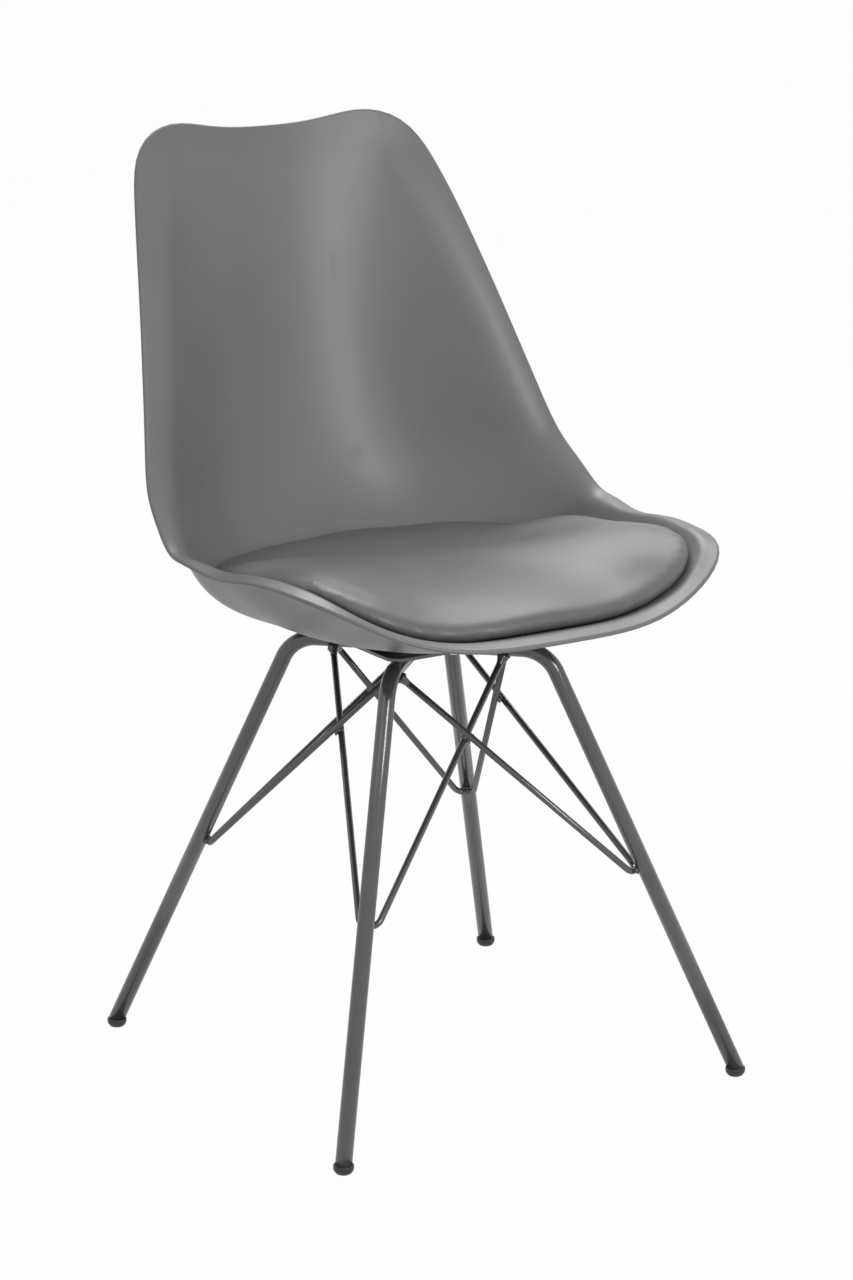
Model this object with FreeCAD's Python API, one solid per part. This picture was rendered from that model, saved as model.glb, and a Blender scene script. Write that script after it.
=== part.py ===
import FreeCAD, Part

import math
import os

from FreeCAD import Vector

# A dining chair: a moulded plastic shell with a sewn seat pad, on a tube base with crossed rod braces.
# Millimetres. X is across the chair, Y runs from the front to the back and Z is up.
# The origin is on the floor, under the middle of the chair's width and depth. The pieces are
# modelled about the middle of the base and moved forward together at the end.
BASE_FORWARD = 18.3          # from the origin to the middle of the base, towards the front

# Base tubes
TUBE_OD = 15.0
TUBE_WALL = 1.5
TUBE_BEND_RADIUS = 35.0
TUBE_AXIS_HEIGHT = 397.2     # axis of the level runs under the seat
FOOT_REACH = 211.2           # from the middle to a foot, along X and along Y
KNEE_REACH = 84.1            # from the middle to the corner of a tube's axis, along X and along Y
TUBE_INNER_END = 13.0        # from the middle to the closed end of a level run
TUBE_CUT_HEIGHT = 8.6        # the lower ends are cut level at this height

# Foot caps
CAP_OD = 18.4
CAP_COLLAR = 3.4
CAP_FLAT_OD = 8.6
CAP_SHOULDER_OD = 15.0       # where the flat turns up into the side
CAP_SHOULDER_HEIGHT = 1.7
CAP_PLUG_LENGTH = 14.0
CAP_PLUG_CLEARANCE = 0.25
CAP_PLUG_ROOT = 1.0          # how deep the plug starts inside the cap

# Rod braces
ROD_OD = 6.0
BRACE_HEIGHT_SHARE = 0.416   # where a brace points at its leg, as a share of the leg's length
OUTER_BRACE_TOP = 26.4       # from a tube's corner to the arms of the outer pair
INNER_BRACE_TOP = 39.7       # the same for the inner pair, which lets the arms pass each other
ARM_SPLAY = 5.6              # sideways, from the tube's axis to an arm's aim
ARM_DROP = 8.0               # from the tube's axis down to an arm's aim
WELD_RADIUS = 4.2            # wide end of the weld round the end of an arm
WELD_LENGTH = 6.0
WELD_GAP = 0.3

# Mounting plate and its fasteners
PLATE_SIZE = 144.0
PLATE_THICKNESS = 3.0
PLATE_CORNER_RADIUS = 14.0
PLATE_WINDOW = 64.0          # diameter of the opening in the middle
PLATE_SEAT_GAP = 0.2         # weld root between a tube and the plate
SCREW_EDGE_DISTANCE = 13.0   # from the plate's edge in to a screw
SCREW_COUNT = 4
SCREW_OD = 6.0
SCREW_HOLE_OD = 6.8
SCREW_HEAD_OD = 11.0
SCREW_HEAD_HEIGHT = 3.2
SCREW_FACE_OD = 7.8          # flat outer face of the domed head
SCREW_DOME_HEIGHT = 1.9
SCREW_SOCKET_SIZE = 4.0      # across the flats
SCREW_SOCKET_DEPTH = 2.0
SCREW_LENGTH = 12.5
WASHER_OD = 13.0
WASHER_THICKNESS = 1.2
PAD_OD = 24.0
PAD_THICKNESS = 2.0
PAD_HOLE_OD = 8.0
INSERT_OD = 9.0
INSERT_LENGTH = 7.5
INSERT_FLANGE_OD = 12.0
INSERT_FLANGE = 0.8
BOSS_OD = 22.0
BOSS_HEIGHT = 6.0
FIT = 0.15                   # radial clearance of pieces that plug together

# Plastic shell
SHELL_WALL = 4.5
RIM_BAND = 12.0              # flat outer band of the rim
RIM_CURL = 8.0               # width over which the side turns out into the band
RIM_TIP = 0.25               # outward fall of the band
RIM_ROUND = 1.5              # how far the middle of the rim's edge stands out
RISE_REFERENCE = 225.0       # half width at which SIDE_RISE is measured
MOUNT_FLAT_RADIUS = 44.0     # flat middle of the seat pan
SHELL_STEPS = 22             # ring points on each half of the shell

# Middle line of the sitting side from the front lip to the top: Y, and height above the seat pan
MIDDLE_LINE = [
    (-242, 38), (-215, 35.5), (-170, 21), (-120, 8), (-60, 0.5), (0, 0), (60, 0.8), (115, 12),
    (163, 44), (198, 100), (221, 170), (239, 258), (256, 345), (272, 428),
]
# Half of the rim: distance along the middle line, and half width
RIM_OUTLINE = [
    (0, 0), (3, 60), (11, 105.5), (23, 149), (39, 186.5), (58, 205.5), (81, 215.5), (113, 220),
    (161, 227), (226, 230.5), (321, 234.5), (414, 230), (543, 211.5), (683, 183.5), (772, 162),
    (803, 148.5), (818, 131), (825.5, 108), (820, 60), (817, 0),
]
# How far the sides rise at RISE_REFERENCE, by the distance along the middle line
SIDE_RISE = [
    (0, 48), (60, 86), (120, 103.5), (230, 95), (320, 110), (400, 132), (500, 142.5), (600, 145),
    (700, 130), (770, 97.5), (825, 42),
]
# The way that the sides rise, in degrees from upright towards the front
SIDE_LEAN = [
    (0, 1), (180, -2.5), (300, 23), (360, 43.5), (425, 53), (490, 66.5), (563, 75.5), (655, 79),
    (835, 79),
]
# How late the sides start to rise, and the half width that stays flat before they do
SIDE_POWER = [(0, 2.45), (130, 2.4), (250, 3.05), (340, 4.0), (420, 2.4), (560, 2.1)]
SIDE_FLAT = [(0, 44), (250, 36.5), (420, 16), (560, 0)]
# Rings of the skin, as shares of the way from the pan's flat middle to the foot of the rim
SHELL_SHARES = (0, 0.06, 0.12, 0.18, 0.25, 0.33, 0.42, 0.53, 0.65, 0.77, 0.89, 1)
SLOPE_REACH = 0.5            # half the distance over which a slope is taken
LEVEL_TOLERANCE = 1e-6

# Seat pad
CUSHION_GAP = 0.6            # between the pad and the shell
CUSHION_ROLL = 8.0           # radius of the rolled edge
CUSHION_ROLL_TURN = 140.0    # how far the rolled edge turns, in degrees
CUSHION_MIDDLE = 53.3        # height of the pad's middle above the seat pan, without its puff
CUSHION_PUFF = 9.6
CUSHION_UNDER_SHARES = (0, 0.14, 0.28, 0.42, 0.56, 0.7, 0.85, 1)
CUSHION_ROLL_SHARES = (0.25, 0.5, 0.75, 1)
CUSHION_TOP_SHARES = (0.9, 0.75, 0.55, 0.35, 0.15)
CUSHION_COVER = 1.5
CUSHION_BASE_OD = 84.0       # stiff disc inside, over the flat middle of the pan
CUSHION_BASE_THICKNESS = 3.0
CUSHION_CORE_GAP = 0.3       # between the cover, the disc and the foam
CUSHION_STEPS = 16           # ring points on each half of the pad

# Half of the pad's widest line, measured like the rim
CUSHION_OUTLINE = [
    (24, 0), (30, 75), (38, 128), (50, 169), (78, 193), (130, 203), (190, 206), (250, 207.5),
    (305, 199), (348, 179), (380, 149), (400, 95), (409, 0),
]

# Levels that follow from the sizes above
PLATE_BOTTOM = TUBE_AXIS_HEIGHT + TUBE_OD / 2 + PLATE_SEAT_GAP
PLATE_TOP = PLATE_BOTTOM + PLATE_THICKNESS
BOSS_BOTTOM = PLATE_TOP + PAD_THICKNESS
SEAT_PAN_TOP = BOSS_BOTTOM + BOSS_HEIGHT + SHELL_WALL
SCREW_CIRCLE_RADIUS = PLATE_SIZE / 2 - SCREW_EDGE_DISTANCE

UP = Vector(0, 0, 1)
CUT_ROOM = 4                 # size of a cutting block, in diameters of what it cuts

# Corners of the base, as signs of X and Y
CORNERS = {
    "front_left": (1, -1),
    "rear_left": (1, 1),
    "rear_right": (-1, 1),
    "front_right": (-1, -1),
}
OUTER_BRACES = ("front_left", "rear_right")


# Curves through stations


def natural_spline(stations):
    """Smooth curve through (place, value) pairs, straight beyond its ends."""
    xs = [float(station[0]) for station in stations]
    ys = [float(station[1]) for station in stations]
    count = len(xs)
    gaps = [xs[i + 1] - xs[i] for i in range(count - 1)]
    middle = [1.0] * count
    right = [0.0] * count
    for i in range(1, count - 1):
        middle[i] = 2 * (gaps[i - 1] + gaps[i])
        step_after = (ys[i + 1] - ys[i]) / gaps[i]
        step_before = (ys[i] - ys[i - 1]) / gaps[i - 1]
        right[i] = 6 * (step_after - step_before)
    for i in range(2, count - 1):
        weight = gaps[i - 1] / middle[i - 1]
        middle[i] -= weight * gaps[i - 1]
        right[i] -= weight * right[i - 1]
    bend = [0.0] * count
    for i in range(count - 2, 0, -1):
        bend[i] = (right[i] - gaps[i] * bend[i + 1]) / middle[i]

    def value(x):
        i = 0
        while i < count - 2 and x > xs[i + 1]:
            i += 1
        gap = gaps[i]
        slope = (ys[i + 1] - ys[i]) / gap - gap * (2 * bend[i] + bend[i + 1]) / 6
        if x <= xs[0]:
            return ys[0] + slope * (x - xs[0])
        cubic = (bend[i + 1] - bend[i]) / (6 * gap)
        if x >= xs[-1]:
            end_slope = slope + bend[i] * gap + 3 * cubic * gap * gap
            return ys[-1] + end_slope * (x - xs[-1])
        t = x - xs[i]
        return ys[i] + t * (slope + t * (bend[i] / 2 + t * cubic))

    return value


def eased_steps(stations):
    """Value that eases from each station to the next and stays level beyond the ends."""
    def value(x):
        if x <= stations[0][0]:
            return stations[0][1]
        for before, after in zip(stations, stations[1:]):
            if x <= after[0]:
                t = (x - before[0]) / (after[0] - before[0])
                return before[1] + (after[1] - before[1]) * t * t * (3 - 2 * t)
        return stations[-1][1]

    return value


def distances(points):
    """Running length along a list of flat points."""
    run = [0.0]
    for start, end in zip(points, points[1:]):
        run.append(run[-1] + math.dist(start, end))
    return run


# Form of the sitting side

line_run = distances(MIDDLE_LINE)
line_y = natural_spline([(run, point[0]) for run, point in zip(line_run, MIDDLE_LINE)])
line_rise = natural_spline([(run, point[1]) for run, point in zip(line_run, MIDDLE_LINE)])
pan_middle = line_run[MIDDLE_LINE.index((0, 0))]
rise_at = natural_spline(SIDE_RISE)
lean_at = natural_spline(SIDE_LEAN)
power_at = eased_steps(SIDE_POWER)
flat_at = eased_steps(SIDE_FLAT)


def side_rise(along, across):
    """Rise of the sitting side beside the middle line."""
    flat = flat_at(along)
    share = max(0.0, abs(across) - flat) / (RISE_REFERENCE - flat)
    return rise_at(along) * share ** power_at(along)


def place(along, across, rise):
    """Point at a rise above the middle line."""
    lean = math.radians(lean_at(along))
    y = line_y(along) - rise * math.sin(lean)
    z = SEAT_PAN_TOP + line_rise(along) + rise * math.cos(lean)
    return Vector(across, y, z)


def dish_point(along, across):
    """Point of the sitting side, without its rim."""
    return place(along, across, side_rise(along, across))


def closed_outline(stations, half_count):
    """Places along a smooth outline and its mirror image, with the outward direction at each."""
    before = [(point[0], -point[1]) for point in stations[3:0:-1]]
    after = [(point[0], -point[1]) for point in stations[-2:-5:-1]]
    points = before + stations + after
    run = distances(points)
    along = natural_spline([(place_on, point[0]) for place_on, point in zip(run, points)])
    across = natural_spline([(place_on, point[1]) for place_on, point in zip(run, points)])
    start = run[len(before)]
    step = (run[len(before) + len(stations) - 1] - start) / half_count
    half = []
    for i in range(half_count + 1):
        t = start + step * i
        direction = (along(t + 1) - along(t - 1), across(t + 1) - across(t - 1))
        length = math.hypot(direction[0], direction[1])
        outward = (-direction[1] / length, direction[0] / length)
        half.append(((along(t), across(t)), outward))
    half[0] = ((half[0][0][0], 0.0), (-1.0, 0.0))
    half[-1] = ((half[-1][0][0], 0.0), (1.0, 0.0))
    mirrored = []
    for (spot_along, spot_across), (out_along, out_across) in reversed(half[1:-1]):
        mirrored.append(((spot_along, -spot_across), (out_along, -out_across)))
    return half + mirrored


def inward(outline, inset):
    """Spots at an inset from an outline."""
    spots = []
    for (along, across), (out_along, out_across) in outline:
        spots.append((along - out_along * inset, across - out_across * inset))
    return spots


def rim_point(spot, inset):
    """Point of the sitting side at an inset from the rim, with the side turned out into the band."""
    (along, across), (out_along, out_across) = spot
    depth = RIM_BAND + RIM_CURL
    here = (along - out_along * inset, across - out_across * inset)
    foot = (along - out_along * depth, across - out_across * depth)
    rise_out = side_rise(foot[0] + out_along * SLOPE_REACH, foot[1] + out_across * SLOPE_REACH)
    rise_in = side_rise(foot[0] - out_along * SLOPE_REACH, foot[1] - out_across * SLOPE_REACH)
    slope = (rise_out - rise_in) / (2 * SLOPE_REACH)
    run = depth - inset
    if run <= RIM_CURL:
        extra = slope * run - (slope + RIM_TIP) * run * run / (2 * RIM_CURL)
    else:
        extra = (slope - RIM_TIP) * RIM_CURL / 2 - RIM_TIP * (run - RIM_CURL)
    return place(here[0], here[1], side_rise(foot[0], foot[1]) + extra)


# Surfaces skinned over rings of points


def fan_rings(outer, shares):
    """Rings on the sitting side, spread from the flat middle of the pan out to the outer spots."""
    rings = []
    for share in shares:
        ring = []
        for along, across in outer:
            turn = math.atan2(across, along - pan_middle)
            inner_along = pan_middle + MOUNT_FLAT_RADIUS * math.cos(turn)
            inner_across = MOUNT_FLAT_RADIUS * math.sin(turn)
            here_along = inner_along + (along - inner_along) * share
            here_across = inner_across + (across - inner_across) * share
            if share == 0:
                ring.append(Vector(here_across, here_along - pan_middle, SEAT_PAN_TOP))
            else:
                ring.append(dish_point(here_along, here_across))
        rings.append(ring)
    return rings


def is_level(ring):
    heights = [point.z for point in ring]
    return max(heights) - min(heights) < LEVEL_TOLERANCE


def ring_normals(rings):
    """Unit directions square to the surface at each ring point, plumb on level end rings."""
    last = len(rings) - 1
    normals = []
    for i, ring in enumerate(rings):
        count = len(ring)
        row = []
        for j in range(count):
            outward = rings[min(i + 1, last)][j] - rings[max(i - 1, 0)][j]
            sideways = ring[(j + 1) % count] - ring[j - 1]
            normal = outward.cross(sideways)
            if i in (0, last) and is_level(ring):
                normal = UP * normal.z
            normal.normalize()
            row.append(normal)
        normals.append(row)
    return normals


def shifted(rings, normals, distance):
    """The same rings, moved along their normals."""
    moved = []
    for ring, row in zip(rings, normals):
        moved.append([point + normal * distance for point, normal in zip(ring, row)])
    return moved


def skin(rings):
    """Smooth surface through closed rings of equally many points."""
    around = [float(i) for i in range(len(rings[0]) + 1)]
    curves = []
    for ring in rings:
        curve = Part.BSplineCurve()
        curve.interpolate(Points=ring, PeriodicFlag=True, Parameters=around)
        curves.append(curve)
    across = [0.0]
    for ring, following in zip(rings, rings[1:]):
        gaps = [start.distanceToPoint(end) for start, end in zip(ring, following)]
        across.append(across[-1] + sum(gaps) / len(gaps))
    ring_poles = [curve.getPoles() for curve in curves]
    columns = []
    for column in zip(*ring_poles):
        line = Part.BSplineCurve()
        line.interpolate(Points=list(column), Parameters=across)
        columns.append(line)
    surface = Part.BSplineSurface()
    surface.buildFromPolesMultsKnots(
        [line.getPoles() for line in columns],
        curves[0].getMultiplicities(),
        columns[0].getMultiplicities(),
        curves[0].getKnots(),
        columns[0].getKnots(),
        True,
        False,
        curves[0].Degree,
        columns[0].Degree,
    )
    return surface


def skin_faces(rings, breaks):
    """Faces of one smooth skin, left and right of the middle and between the rings named in breaks."""
    surface = skin(rings)
    knots = surface.getVKnots()
    stops = [knots[i] for i in (0, *breaks, len(rings) - 1)]
    half = len(rings[0]) / 2
    faces = []
    for start, end in zip(stops, stops[1:]):
        for side in (0, half):
            patch = surface.copy()
            patch.segment(side, side + half, start, end)
            faces.append(patch.toShape())
    return faces


def ruled_faces(rings):
    """Faces ruled from ring to ring, which are lighter than a smooth skin."""
    faces = []
    for ring, following in zip(rings, rings[1:]):
        faces.extend(skin_faces([ring, following], ()))
    return faces


def level_face(ring):
    """Flat face inside a level ring."""
    around = [float(i) for i in range(len(ring) + 1)]
    curve = Part.BSplineCurve()
    curve.interpolate(Points=ring, PeriodicFlag=True, Parameters=around)
    half = len(ring) / 2
    edges = [curve.toShape(0, half), curve.toShape(half, 2 * half)]
    return Part.Face(Part.Wire(edges))


def closed_solid(faces):
    """Solid inside faces that meet edge to edge."""
    shell = Part.makeShell(faces)
    shell.sewShape()
    solid = Part.makeSolid(shell)
    if solid.Volume < 0:
        solid.reverse()
    return solid


# Plastic shell


def screw_places():
    """Middles of the four screws, on a circle about the middle of the base."""
    turns = [2 * math.pi * i / SCREW_COUNT for i in range(SCREW_COUNT)]
    return [(SCREW_CIRCLE_RADIUS * math.cos(turn), SCREW_CIRCLE_RADIUS * math.sin(turn)) for turn in turns]


def shell_form():
    """The moulded wall: sitting side, rounded rim edge and underside in one skin."""
    outline = closed_outline(RIM_OUTLINE, SHELL_STEPS)
    depth = RIM_BAND + RIM_CURL
    top = fan_rings(inward(outline, depth), SHELL_SHARES)
    for inset in (depth - RIM_CURL / 2, RIM_BAND, RIM_BAND / 2, RIM_ROUND):
        top.append([rim_point(spot, inset) for spot in outline])
    normals = ring_normals(top)
    bottom = shifted(top, normals, -SHELL_WALL)
    tip = [rim_point(spot, 0) for spot in outline]
    edge = shifted([tip], [normals[-1]], -SHELL_WALL / 2)
    faces = skin_faces(top, ()) + ruled_faces([top[-1]] + edge + [bottom[-1]]) + skin_faces(bottom[::-1], ())
    return closed_solid(faces + [level_face(top[0]), level_face(bottom[0])])


def seat_shell():
    """Shell with four bosses under the pan, each with a blind stepped hole for its insert."""
    shell = shell_form()
    insert_room = INSERT_LENGTH + FIT
    for x, y in screw_places():
        wall_middle = dish_point(pan_middle + y, x).z - SHELL_WALL / 2
        foot = Vector(x, y, BOSS_BOTTOM)
        boss = Part.makeCylinder(BOSS_OD / 2, wall_middle - BOSS_BOTTOM, foot, UP)
        shell = shell.fuse(boss)
        hole = Part.makeCylinder(INSERT_OD / 2 + FIT, insert_room, foot, UP)
        step = Part.makeCylinder(INSERT_FLANGE_OD / 2 + FIT, INSERT_FLANGE, foot, UP)
        shell = shell.cut(hole.fuse(step))
    return shell


# Seat pad


def surface_frame(spot, outward):
    """Point of the sitting side with its outward direction and its normal."""
    along, across = spot
    out_along, out_across = outward
    step_along = out_along * SLOPE_REACH
    step_across = out_across * SLOPE_REACH
    ahead = dish_point(along + step_along, across + step_across)
    behind = dish_point(along - step_along, across - step_across)
    left = dish_point(along - step_across, across + step_along)
    right = dish_point(along + step_across, across - step_along)
    tangent = (ahead - behind).normalize()
    normal = (left - right).cross(tangent).normalize()
    return dish_point(along, across), tangent, normal


def cushion_rings():
    """Rings round the seat pad: its underside, its rolled edge and its puffed top."""
    outline = closed_outline(CUSHION_OUTLINE, CUSHION_STEPS)
    seat_spots = inward(outline, CUSHION_ROLL)
    under = fan_rings(seat_spots, CUSHION_UNDER_SHARES)
    rings = shifted(under, ring_normals(under), CUSHION_GAP)
    frames = [surface_frame(spot, corner[1]) for spot, corner in zip(seat_spots, outline)]
    for turned in CUSHION_ROLL_SHARES:
        turn = math.radians(CUSHION_ROLL_TURN * turned)
        out = CUSHION_ROLL * math.sin(turn)
        lift = CUSHION_GAP + CUSHION_ROLL * (1 - math.cos(turn))
        rings.append([point + tangent * out + normal * lift for point, tangent, normal in frames])
    top_edge = rings[-1]
    middle_z = SEAT_PAN_TOP + CUSHION_MIDDLE
    for share in CUSHION_TOP_SHARES:
        ring = []
        for start in top_edge:
            rise = (start.z - middle_z) * share ** 2
            puff = CUSHION_PUFF * (1 - share ** 4)
            if share == CUSHION_TOP_SHARES[-1]:
                rise = 0
            ring.append(Vector(start.x * share, start.y * share, middle_z + rise + puff))
        rings.append(ring)
    return rings


def ring_form(rings):
    """Solid inside rings that run from one level ring to another."""
    return closed_solid(ruled_faces(rings) + [level_face(rings[0]), level_face(rings[-1])])


def inner_form(depth):
    """Form of the seat pad at a depth under its cover's outside."""
    rings = cushion_rings()
    return ring_form(shifted(rings, ring_normals(rings), depth)[::2])


def seat_pad_cover():
    """Sewn cover of the pad, hollow for its disc and foam."""
    return ring_form(cushion_rings()).cut(inner_form(CUSHION_COVER))


def base_disc(extra):
    """Stiff disc in the bottom of the pad, with extra room all round."""
    height = SEAT_PAN_TOP + CUSHION_GAP + CUSHION_COVER + CUSHION_CORE_GAP
    foot = Vector(0, 0, height - extra)
    return Part.makeCylinder(CUSHION_BASE_OD / 2 + extra, CUSHION_BASE_THICKNESS + 2 * extra, foot, UP)


def seat_pad_base():
    return base_disc(0)


def seat_pad_foam():
    """Foam that fills the cover and sits over the disc."""
    return inner_form(CUSHION_COVER + CUSHION_CORE_GAP).cut(base_disc(CUSHION_CORE_GAP))


# Base


def corner_point(corner, reach, height):
    """Point on the diagonal of a corner, at a reach along X and along Y."""
    return Vector(corner[0] * reach, corner[1] * reach, height)


def rounded_path(points, bend_radius):
    """Straight runs through the points, with an arc at each turn."""
    edges = []
    start = points[0]
    for before, corner, after in zip(points, points[1:], points[2:]):
        back = (before - corner).normalize()
        ahead = (after - corner).normalize()
        half = back.getAngle(ahead) / 2
        reach = bend_radius / math.tan(half)
        inside = (back + ahead).normalize()
        first = corner + back * reach
        middle = corner + inside * (bend_radius / math.sin(half) - bend_radius)
        last = corner + ahead * reach
        edges.append(Part.LineSegment(start, first).toShape())
        edges.append(Part.Arc(first, middle, last).toShape())
        start = last
    edges.append(Part.LineSegment(start, points[-1]).toShape())
    return Part.Wire(edges)


def round_bar(points, bend_radius, diameter):
    """Round bar bent along a path."""
    profile = Part.Wire([Part.makeCircle(diameter / 2, points[0], points[1] - points[0])])
    return rounded_path(points, bend_radius).makePipeShell([profile], True, False)


def leg_ends(corner):
    """Axis points of a tube: where its leg is cut, its knee and its closed inner end."""
    foot = corner_point(corner, FOOT_REACH, TUBE_CUT_HEIGHT)
    knee = corner_point(corner, KNEE_REACH, TUBE_AXIS_HEIGHT)
    inner = corner_point(corner, TUBE_INNER_END / math.sqrt(2), TUBE_AXIS_HEIGHT)
    return foot, knee, inner


def leg(corner):
    """Tube from a foot up to its knee and level to the middle, closed at its inner end."""
    foot, knee, inner = leg_ends(corner)
    below = foot + (foot - knee).normalize() * TUBE_OD
    inward_way = (inner - knee).normalize()
    bore_end = inner - inward_way * TUBE_WALL
    tube = round_bar([below, knee, inner], TUBE_BEND_RADIUS, TUBE_OD)
    bore = round_bar([below, knee, bore_end], TUBE_BEND_RADIUS, TUBE_OD - 2 * TUBE_WALL)
    spare = CUT_ROOM * TUBE_OD
    waste = Part.makeBox(spare, spare, spare, foot - Vector(spare / 2, spare / 2, spare))
    return tube.cut(bore).cut(waste)


def foot_cap(corner):
    """Black cap with a flat underside and a plug up into the tube."""
    foot, knee, inner = leg_ends(corner)
    profile = [
        Vector(0, 0, 0),
        Vector(CAP_FLAT_OD / 2, 0, 0),
        Vector(CAP_SHOULDER_OD / 2, 0, CAP_SHOULDER_HEIGHT),
        Vector(CAP_OD / 2, 0, TUBE_CUT_HEIGHT - CAP_COLLAR),
        Vector(CAP_OD / 2, 0, TUBE_CUT_HEIGHT),
        Vector(0, 0, TUBE_CUT_HEIGHT),
        Vector(0, 0, 0),
    ]
    cap = Part.Face(Part.makePolygon(profile)).revolve(Vector(0, 0, 0), UP, 360)
    cap.translate(Vector(foot.x, foot.y, 0))
    way = (knee - foot).normalize()
    plug_radius = TUBE_OD / 2 - TUBE_WALL - CAP_PLUG_CLEARANCE
    start = foot - way * CAP_OD / 2
    plug = Part.makeCylinder(plug_radius, CAP_OD / 2 + CAP_PLUG_LENGTH, start, way)
    root = TUBE_CUT_HEIGHT - CAP_PLUG_ROOT
    spare = CUT_ROOM * CAP_OD
    waste = Part.makeBox(spare, spare, spare, Vector(foot.x - spare / 2, foot.y - spare / 2, root - spare))
    return cap.fuse(plug.cut(waste))


def arm_target(corner, side, top):
    """Where an arm aims at the level run of the tube at a corner, on the side that it comes from."""
    foot, knee, inner = leg_ends(corner)
    along = (inner - knee).normalize()
    aside = along.cross(UP)
    if aside.dot(side) < 0:
        aside = -aside
    return knee + along * top + aside * ARM_SPLAY - UP * ARM_DROP


def brace(name):
    """Bent rod round the inner side of a leg, with arms up to the two neighbouring tubes."""
    corner = CORNERS[name]
    foot, knee, inner = leg_ends(corner)
    tip = foot + (knee - foot) * BRACE_HEIGHT_SHARE
    top = OUTER_BRACE_TOP if name in OUTER_BRACES else INNER_BRACE_TOP
    neighbours = [(-corner[0], corner[1]), (corner[0], -corner[1])]
    targets = [arm_target(other, tip, top) for other in neighbours]
    ways = [(target - tip).normalize() for target in targets]
    middle_way = (ways[0] + ways[1]).normalize()
    leg_way = (knee - foot).normalize()
    half_spread = ways[0].getAngle(ways[1]) / 2
    clearance = TUBE_OD / 2 + WELD_GAP + ROD_OD / 2
    bend_reach = clearance / math.sin(middle_way.getAngle(leg_way))
    bend_radius = bend_reach / (1 / math.sin(half_spread) - 1)
    reaches = [target + way * (TUBE_OD / 2) for target, way in zip(targets, ways)]
    rod = round_bar([reaches[0], tip, reaches[1]], bend_radius, ROD_OD)
    for other, target, way in zip(neighbours, targets, ways):
        weld = Part.makeCone(WELD_RADIUS, ROD_OD / 2, WELD_LENGTH, target + way * ROD_OD / 4, -way)
        other_knee, other_inner = leg_ends(other)[1:]
        run = other_inner - other_knee
        tube_room = Part.makeCylinder(TUBE_OD / 2 + WELD_GAP, run.Length, other_knee, run)
        rod = rod.fuse(weld).cut(tube_room)
    bend_middle = tip + middle_way * bend_reach
    nearest = tip + leg_way * (bend_middle - tip).dot(leg_way)
    leg_side = (bend_middle - nearest).normalize()
    seat = nearest + leg_side * (TUBE_OD / 2 + WELD_GAP)
    return rod.fuse(Part.makeCone(WELD_RADIUS, ROD_OD / 2, ROD_OD / 2, seat, leg_side))


def mounting_plate():
    """Square plate over the tubes, with a round opening and four screw holes."""
    half = PLATE_SIZE / 2
    plate = Part.makeBox(PLATE_SIZE, PLATE_SIZE, PLATE_THICKNESS, Vector(-half, -half, PLATE_BOTTOM))
    uprights = [edge for edge in plate.Edges if abs(edge.tangentAt(edge.FirstParameter).z) > 0.5]
    plate = plate.makeFillet(PLATE_CORNER_RADIUS, uprights)
    floor = Vector(0, 0, PLATE_BOTTOM)
    plate = plate.cut(Part.makeCylinder(PLATE_WINDOW / 2, PLATE_THICKNESS, floor, UP))
    for x, y in screw_places():
        hole = Part.makeCylinder(SCREW_HOLE_OD / 2, PLATE_THICKNESS, Vector(x, y, PLATE_BOTTOM), UP)
        plate = plate.cut(hole)
    return plate


# Fasteners under the shell


def ring_piece(outer, bore, height, foot):
    """Flat ring or short tube standing on its foot."""
    body = Part.makeCylinder(outer / 2, height, foot, UP)
    return body.cut(Part.makeCylinder(bore / 2, height, foot, UP))


def plate_screw(x, y):
    """Screw from below, with a domed head and a six-sided socket."""
    seat = PLATE_BOTTOM - WASHER_THICKNESS
    shank = Part.makeCylinder(SCREW_OD / 2, SCREW_LENGTH, Vector(x, y, seat), UP)
    head_foot = seat - SCREW_HEAD_HEIGHT
    face = Vector(x, y, head_foot)
    dome = Part.makeCone(SCREW_FACE_OD / 2, SCREW_HEAD_OD / 2, SCREW_DOME_HEIGHT, face, UP)
    band_height = SCREW_HEAD_HEIGHT - SCREW_DOME_HEIGHT
    band = Part.makeCylinder(SCREW_HEAD_OD / 2, band_height, face + UP * SCREW_DOME_HEIGHT, UP)
    corner_reach = SCREW_SOCKET_SIZE / math.sqrt(3)
    corners = []
    for i in range(7):
        turn = math.radians(60 * i)
        corners.append(Vector(x + corner_reach * math.cos(turn), y + corner_reach * math.sin(turn), head_foot))
    socket = Part.Face(Part.makePolygon(corners)).extrude(UP * SCREW_SOCKET_DEPTH)
    return dome.fuse(band).fuse(shank).cut(socket)


def plate_washer(x, y):
    return ring_piece(WASHER_OD, SCREW_HOLE_OD, WASHER_THICKNESS, Vector(x, y, PLATE_BOTTOM - WASHER_THICKNESS))


def rubber_pad(x, y):
    return ring_piece(PAD_OD, PAD_HOLE_OD, PAD_THICKNESS, Vector(x, y, PLATE_TOP))


def threaded_insert(x, y):
    """Flanged sleeve pressed up into a boss."""
    bore = SCREW_OD + 2 * FIT
    foot = Vector(x, y, BOSS_BOTTOM)
    return ring_piece(INSERT_OD, bore, INSERT_LENGTH, foot).fuse(
        ring_piece(INSERT_FLANGE_OD, bore, INSERT_FLANGE, foot)
    )


def set_of(piece):
    """One of a piece at each screw, as separate solids in a group."""
    return Part.makeCompound([piece(x, y) for x, y in screw_places()])


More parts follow.
